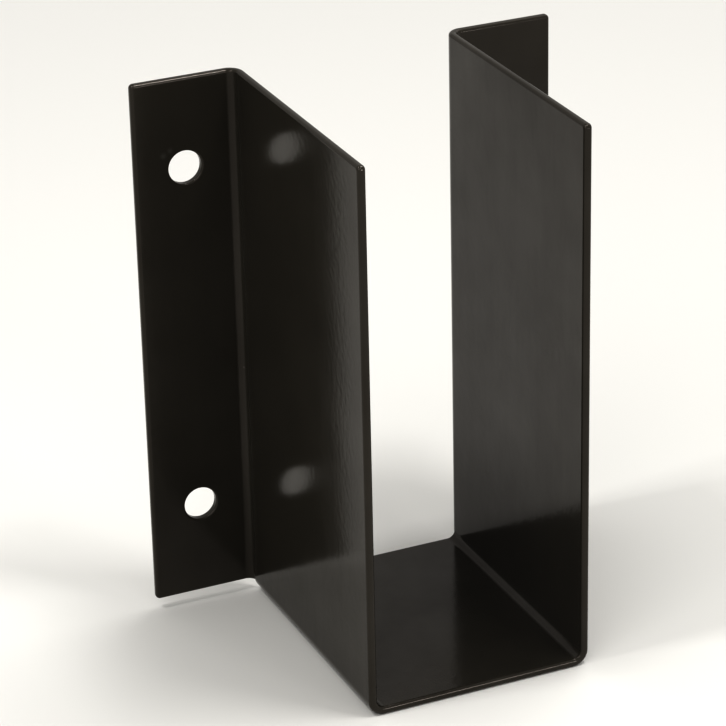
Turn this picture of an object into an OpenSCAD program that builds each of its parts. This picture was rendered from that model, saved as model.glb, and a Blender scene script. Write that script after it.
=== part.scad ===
// Joist hanger folded from one sheet of steel: a seat, two side plates and two bolted flanges.
// The joist lies on the seat from the front (-Y); the flanges' back faces (+Y) go on the header.
// The origin is under the middle of the seat's underside, halfway along the depth.

/* [Joist space] */
// Clear width between the side plates
joist_w = 39.7; // [30:0.1:60]
// Height from the seat's underside to the top edges
height = 102.5; // [60:0.5:160]
// Depth from the flanges' back faces to the front edges
depth = 54.3; // [35:0.1:80]

/* [Sheet] */
// Thickness of the coated sheet
sheet = 1.5; // [1.3:0.1:2]
// Inside radius of every fold
fold_r = 1.4; // [1.2:0.1:2.4]

/* [Flanges] */
// Reach of each flange beyond the outer face of its side plate
flange_w = 19.1; // [15:0.1:30]
// Height of the flanges' lower edges above the seat's underside
flange_foot = 2.1; // [1.7:0.1:5]
// Distance of the seat's back edge in front of the flanges' back faces
seat_setback = 2; // [1.6:0.1:2.6]

/* [Bolt holes] */
// Diameter of the holes through the flanges
hole_d = 6.2; // [4:0.1:8]
// Distance between the two holes of a flange
hole_pitch = 65.9; // [30:0.1:75]
// Height of the lower holes above the flanges' lower edges
hole_foot = 17.8; // [8:0.1:25]
// Distance of the holes from the flanges' outer edges
hole_inset = 9.5; // [6:0.1:10.5]

/* [Edges] */
// Radius that the coating leaves along every cut edge
edge_r = 0.6; // [0.1:0.05:0.6]
// Radius that it leaves on the holes' rims
hole_edge_r = 0.35; // [0.1:0.05:0.45]
// Radius of the corners cut in the sheet
corner_r = 0.8; // [0.7:0.1:2.5]

/* [Hidden] */
$fn = 64;
// How far a cutter runs past what it cuts
past = 1;
// How far a fold runs on inside the flats that it joins
lap = 0.5;
// Distance of a plain stretch of sheet from a cut edge, inside the edge's rim
plain_inset = (corner_r + edge_r) / 2;
// Outer radius of a fold
bend_r = fold_r + sheet;
// Half the width over the side plates
half_w = joist_w / 2 + sheet;
// Planes of the flanges' back faces and of the front edges
back_y = depth / 2;
front_y = -depth / 2;
// Where a side plate ends and its flange's fold begins
fold_y = back_y - bend_r;
// Where a flange's flat begins and ends
flange_in_x = half_w + fold_r;
flange_out_x = half_w + flange_w;
// Length of the seat along the joist
seat_l = depth - seat_setback;

// Rim of the sheet in section, its thickness along Y: plain at x = 0, rounded at the cut edge x = corner_r
module rim_profile() {
    square([corner_r - edge_r, sheet]);
    translate([0, edge_r])
        square([corner_r, sheet - 2 * edge_r]);
    intersection() {
        for (y = [edge_r, sheet - edge_r])
            translate([corner_r - edge_r, y])
                circle(edge_r);
        translate([0, -past])
            square([corner_r + past, sheet + 2 * past]);
    }
}

// Flat plate on XY, its thickness along Z. Its sides run counter-clockwise from the one at y = 0.
// Each side marked in cut has a rounded rim, and two of them in turn meet in a rounded corner.
module plate(width, length, cut) {
    sizes = [width, length, width, length];
    starts = [[0, 0], [width, 0], [width, length], [0, length]];
    plain = [for (side = cut) side ? plain_inset : 0];
    rounded = [for (side = cut) side ? corner_r : 0];
    translate([plain[3], plain[0], 0])
        cube([width - plain[3] - plain[1], length - plain[0] - plain[2], sheet]);
    for (side = [0:3])
        if (cut[side]) {
            before = rounded[(side + 3) % 4];
            after = rounded[(side + 1) % 4];
            translate(starts[side])
                rotate(90 * side) {
                    translate([sizes[side] - after, corner_r, 0])
                        rotate([90, 0, -90])
                            linear_extrude(sizes[side] - before - after)
                                rim_profile();
                    if (before > 0)
                        translate([corner_r, corner_r, 0])
                            rotate_extrude()
                                rim_profile();
                }
        }
}

// Right-angle fold about Z, from +X round to +Y, with a rounded rim at either end.
// From the height lap_z up it runs on into both of its flats.
module fold(width, lap_z) {
    translate([0, 0, plain_inset])
        linear_extrude(width - 2 * plain_inset)
            fold_outline();
    translate([0, 0, lap_z])
        linear_extrude(width - plain_inset - lap_z) {
            fold_outline();
            translate([fold_r, -lap])
                square([sheet, lap]);
            translate([-lap, fold_r])
                square([lap, sheet]);
        }
    rotate_extrude(angle = 90)
        translate([fold_r, corner_r])
            rotate(-90)
                rim_profile();
    rotate_extrude(angle = 90)
        translate([bend_r, width - corner_r])
            rotate(90)
                rim_profile();
}

// A fold seen along its line
module fold_outline() {
    intersection() {
        difference() {
            circle(bend_r);
            circle(fold_r);
        }
        square(bend_r);
    }
}

// Flat seat that carries the joist, cut at its front and back
module seat() {
    seat_w = 2 * (half_w - bend_r);
    translate([-seat_w / 2, front_y, 0])
        plate(seat_w, seat_l, [true, false, true, false]);
}

// Fold between the seat and the right side plate
module seat_fold() {
    translate([half_w - bend_r, front_y + seat_l, bend_r])
        rotate([90, 0, 0])
            rotate([0, 0, -90])
                fold(seat_l, max(plain_inset, front_y + seat_l - fold_y));
}

// Right side plate, cut at its front and top
module side_plate() {
    translate([half_w - sheet, front_y, bend_r])
        rotate([90, 0, 90])
            plate(fold_y - front_y, height - bend_r, [false, false, true, true]);
}

// Fold between the right side plate and its flange
module flange_fold() {
    translate([flange_in_x, fold_y, flange_foot])
        rotate([0, 0, 90])
            fold(height - flange_foot, max(plain_inset, bend_r - flange_foot));
}

// Right flange, cut on every side but the fold's, with its two holes
module flange() {
    difference() {
        translate([flange_in_x, back_y, flange_foot])
            rotate([90, 0, 0])
                plate(flange_out_x - flange_in_x, height - flange_foot, [true, true, true, false]);
        for (rise = [0, hole_pitch])
            translate([flange_out_x - hole_inset, back_y, flange_foot + hole_foot + rise])
                rotate([90, 0, 0])
                    bolt_hole();
    }
}

// Cutter for a hole through the sheet, with rounded rims
module bolt_hole() {
    rim_r = hole_d / 2 + hole_edge_r;
    rotate_extrude()
        difference() {
            translate([0, -past])
                square([rim_r, sheet + 2 * past]);
            translate([rim_r, hole_edge_r])
                circle(hole_edge_r);
            translate([rim_r, sheet - hole_edge_r])
                circle(hole_edge_r);
            translate([hole_d / 2, hole_edge_r])
                square([2 * hole_edge_r, sheet - 2 * hole_edge_r]);
        }
}

// Everything on the right of the middle but the seat
module wing() {
    seat_fold();
    side_plate();
    flange_fold();
    flange();
}

// The whole folded sheet
module hanger() {
    color("#1c1b19")
        union() {
            seat();
            wing();
            mirror([1, 0, 0])
                wing();
        }
}

hanger();
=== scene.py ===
import math

import bpy
from mathutils import Matrix, Vector

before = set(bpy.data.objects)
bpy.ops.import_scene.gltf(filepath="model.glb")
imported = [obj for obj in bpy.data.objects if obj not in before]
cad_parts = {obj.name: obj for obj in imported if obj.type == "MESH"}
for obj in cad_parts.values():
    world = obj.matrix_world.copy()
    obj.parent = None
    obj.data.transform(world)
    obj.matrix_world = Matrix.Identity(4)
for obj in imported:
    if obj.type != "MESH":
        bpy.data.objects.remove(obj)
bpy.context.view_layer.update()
print("frame loaded")

# lengths are in metres, and this is one millimetre
mm = 0.001


# camera, placed by a fit to the straight edges of the photo

camera = {
    "place": (-0.22521, -0.48995, 0.30068),
    "yaw": 23.788,      # degrees from +Y towards +X
    "pitch": 24.719,    # degrees down
    "roll": -1.319,
    "lens": 167.29,     # millimetres, as the sensor's width
    "sensor": 36.0,
    "nearest": 10 * mm,
}


def addCamera(size):
    data = bpy.data.cameras.new("camera")
    data.lens = size["lens"]
    data.sensor_width = size["sensor"]
    data.clip_start = size["nearest"]
    obj = bpy.data.objects.new("camera", data)
    turn = (Matrix.Rotation(math.radians(-size["yaw"]), 4, "Z")
            @ Matrix.Rotation(math.radians(90 - size["pitch"]), 4, "X")
            @ Matrix.Rotation(math.radians(size["roll"]), 4, "Z"))
    obj.matrix_world = Matrix.Translation(size["place"]) @ turn
    bpy.context.scene.collection.objects.link(obj)
    bpy.context.scene.camera = obj


addCamera(camera)
print("camera done")


# one output of a shader node; sums and products of wires add their own Math nodes
class Wire:
    def __init__(self, tree, out=None):
        self.tree = tree
        self.out = out

    # any node: its type, its settings, then the values or wires of its inputs
    def node(self, kind, settings=None, inputs=None, output=0):
        made = self.tree.nodes.new(kind)
        for name, value in (settings or {}).items():
            setattr(made, name, value)
        for name, value in (inputs or {}).items():
            if isinstance(value, Wire):
                self.tree.links.new(value.out, made.inputs[name])
            else:
                made.inputs[name].default_value = value
        return Wire(self.tree, made.outputs[output] if made.outputs else None)

    def maths(self, operation, first, second):
        return self.node("ShaderNodeMath", {"operation": operation}, {0: first, 1: second})

    def vector(self, operation, inputs, output="Vector"):
        return self.node("ShaderNodeVectorMath", {"operation": operation}, inputs, output)

    def __add__(self, other):
        return self.maths("ADD", self, other)

    def __radd__(self, other):
        return self.maths("ADD", other, self)

    def __sub__(self, other):
        return self.maths("SUBTRACT", self, other)

    def __rmul__(self, other):
        return self.maths("MULTIPLY", other, self)


def newMaterial(name):
    material = bpy.data.materials.new(name)
    material.use_nodes = True
    material.node_tree.nodes.clear()
    return material, Wire(material.node_tree)


# the finish: black powder coat, baked to a satin gloss

coat = {
    "colour": (0.032, 0.029, 0.0225),
    "ior": 1.41,
    "roughness": 0.15,
    "gloss": 0.08,
    "reflection": (1.0, 0.91, 0.87, 1),
    # orange peel, the only relief
    "peel": {"width": 1.2 * mm, "height": 1.2 * mm, "detail": 1, "roughness": 0.4},
    "peelDepth": 0.012 * mm,
    # soft clouds and narrow upright streaks, and how far they move the tone, gloss and roughness
    "clouds": {"width": 14 * mm, "height": 14 * mm, "detail": 3, "roughness": 0.5},
    "streaks": {"width": 3 * mm, "height": 40 * mm, "detail": 2, "roughness": 0.5},
    "streakShare": 0.35,
    "toneSpread": 0.35,
    "glossSpread": 0.4,
    "cloudRoughness": 0.04,
    "streakRoughness": 0.03,
    # light marks in millimetres: two rubs by the upper hole, a nib on the fold, a scuff on the plate
    "marks": [
        {"place": (-35.0, 25.6, 88.6), "reach": 0.9, "light": 0.024},
        {"place": (-33.7, 25.6, 89.4), "reach": 0.8, "light": 0.02},
        {"place": (-21.6, 25.2, 45.6), "reach": 0.35, "light": 0.05},
        {"place": (-21.4, 5.2, 91.2), "reach": 0.6, "light": 0.02},
    ],
}


# noise of one width across and one height upright, from 0 to 1
def noise(place, size):
    finer = (1 / size["width"], 1 / size["width"], 1 / size["height"])
    return place.node("ShaderNodeTexNoise", {}, {
        "Vector": place.vector("MULTIPLY", {0: place, 1: finer}),
        "Scale": 1,
        "Detail": size["detail"],
        "Roughness": size["roughness"],
    }, "Fac")


# light of one round mark, fading out from its middle
def wornLight(place, mark):
    middle = [v * mm for v in mark["place"]]
    return place.node("ShaderNodeMapRange", {"interpolation_type": "SMOOTHSTEP"}, {
        "Value": place.vector("DISTANCE", {0: place, 1: middle}, "Value"),
        "From Min": mark["reach"] * mm,
        "From Max": 0,
        "To Max": mark["light"],
    })


def powderCoat(size):
    material, tree = newMaterial("black powder coat")
    place = tree.node("ShaderNodeTexCoord", output="Object")
    # less its middle value, each noise swings about nothing
    clouds = noise(place, size["clouds"]) - 0.5
    streaks = noise(place, size["streaks"]) - 0.5
    patches = clouds + size["streakShare"] * streaks
    tone = 1 + size["toneSpread"] * patches
    colour = tree.vector("SCALE", {0: size["colour"], "Scale": tone})
    worn = sum(wornLight(place, mark) for mark in size["marks"])
    shader = tree.node("ShaderNodeBsdfPrincipled", {}, {
        "Base Color": tree.vector("ADD", {0: colour, 1: worn}),
        "Roughness": size["roughness"] + size["cloudRoughness"] * clouds + size["streakRoughness"] * streaks,
        "IOR": size["ior"],
        "Specular Tint": size["reflection"],
        "Coat Weight": size["gloss"] + size["glossSpread"] * patches,
        "Coat Roughness": size["roughness"],
        "Normal": tree.node("ShaderNodeBump", {}, {
            "Strength": 1, "Distance": size["peelDepth"], "Height": noise(place, size["peel"])}),
    })
    tree.node("ShaderNodeOutputMaterial", {}, {"Surface": shader})
    return material


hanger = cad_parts["hanger"]
hanger.data.materials.clear()
hanger.data.materials.append(powderCoat(coat))
print("coat done")


# floor, lights and the picture's tones

floor = {
    "side": 8.0,
    "colour": (0.70, 0.70, 0.69, 1),
    "roughness": 0.8,
    "gloss": 0.1,
}

# the colour of every light
warmWhite = (1.0, 0.985, 0.96)

# each lamp is a flat panel turned towards the point that it faces; glow is how bright its face is
lamps = {
    "left": {
        "place": (-1.0, -0.85, 0.9), "faces": (0, 0, 0.05), "size": (1.0, 1.0), "glow": 2.5},
    "right": {
        "place": (0.75, 0.3, 0.95), "faces": (0, 0, 0), "size": (0.9, 0.9), "glow": 1.4},
    # the line along the left flange's top edge
    "key": {
        "place": (0.08, -0.09, 0.405), "faces": (-0.032, 0.025, 0.1), "size": (0.08, 0.035), "glow": 60.0},
    # the dot at the top of the left fold
    "spark": {
        "place": (-0.58, 0.0, 1.13), "faces": (0, 0, 0.05), "size": (0.14, 0.14), "glow": 60.0},
    # the line along the seat's front edge
    "front": {
        "place": (0.42, -1.14, 0.14), "faces": (0, 0, 0.05), "size": (0.22, 0.24), "glow": 17.0},
}

picture = {
    "surroundings": 0.8,
    "gamma": 0.65,
}


def addFloor(size):
    half = size["side"] / 2
    mesh = bpy.data.meshes.new("floor")
    mesh.from_pydata([(-half, -half, 0), (half, -half, 0), (half, half, 0), (-half, half, 0)],
                     [], [(0, 1, 2, 3)])
    material, tree = newMaterial("pale floor")
    shader = tree.node("ShaderNodeBsdfPrincipled", {}, {
        "Base Color": size["colour"], "Roughness": size["roughness"], "Specular IOR Level": size["gloss"]})
    tree.node("ShaderNodeOutputMaterial", {}, {"Surface": shader})
    mesh.materials.append(material)
    obj = bpy.data.objects.new("floor", mesh)
    bpy.context.scene.collection.objects.link(obj)


def addLamp(name, size):
    width, height = size["size"]
    data = bpy.data.lights.new(name, "AREA")
    data.shape = "RECTANGLE"
    data.size = width
    data.size_y = height
    data.color = warmWhite
    data.energy = size["glow"] * math.pi * width * height
    lamp = bpy.data.objects.new(name, data)
    aim = Vector(size["faces"]) - Vector(size["place"])
    lamp.matrix_world = Matrix.Translation(size["place"]) @ aim.to_track_quat("-Z", "Y").to_matrix().to_4x4()
    bpy.context.scene.collection.objects.link(lamp)


def setWorld(size):
    world = bpy.data.worlds.new("studio")
    world.use_nodes = True
    world.node_tree.nodes.clear()
    tree = Wire(world.node_tree)
    light = tree.node("ShaderNodeBackground", {}, {
        "Color": (*warmWhite, 1), "Strength": size["surroundings"]})
    tree.node("ShaderNodeOutputWorld", {}, {"Surface": light})
    bpy.context.scene.world = world


addFloor(floor)
setWorld(picture)
for name, size in lamps.items():
    addLamp(name, size)

# a steep tone curve, as in the photo
tones = bpy.context.scene.view_settings
tones.view_transform = "Standard"
tones.gamma = picture["gamma"]
print("studio done")
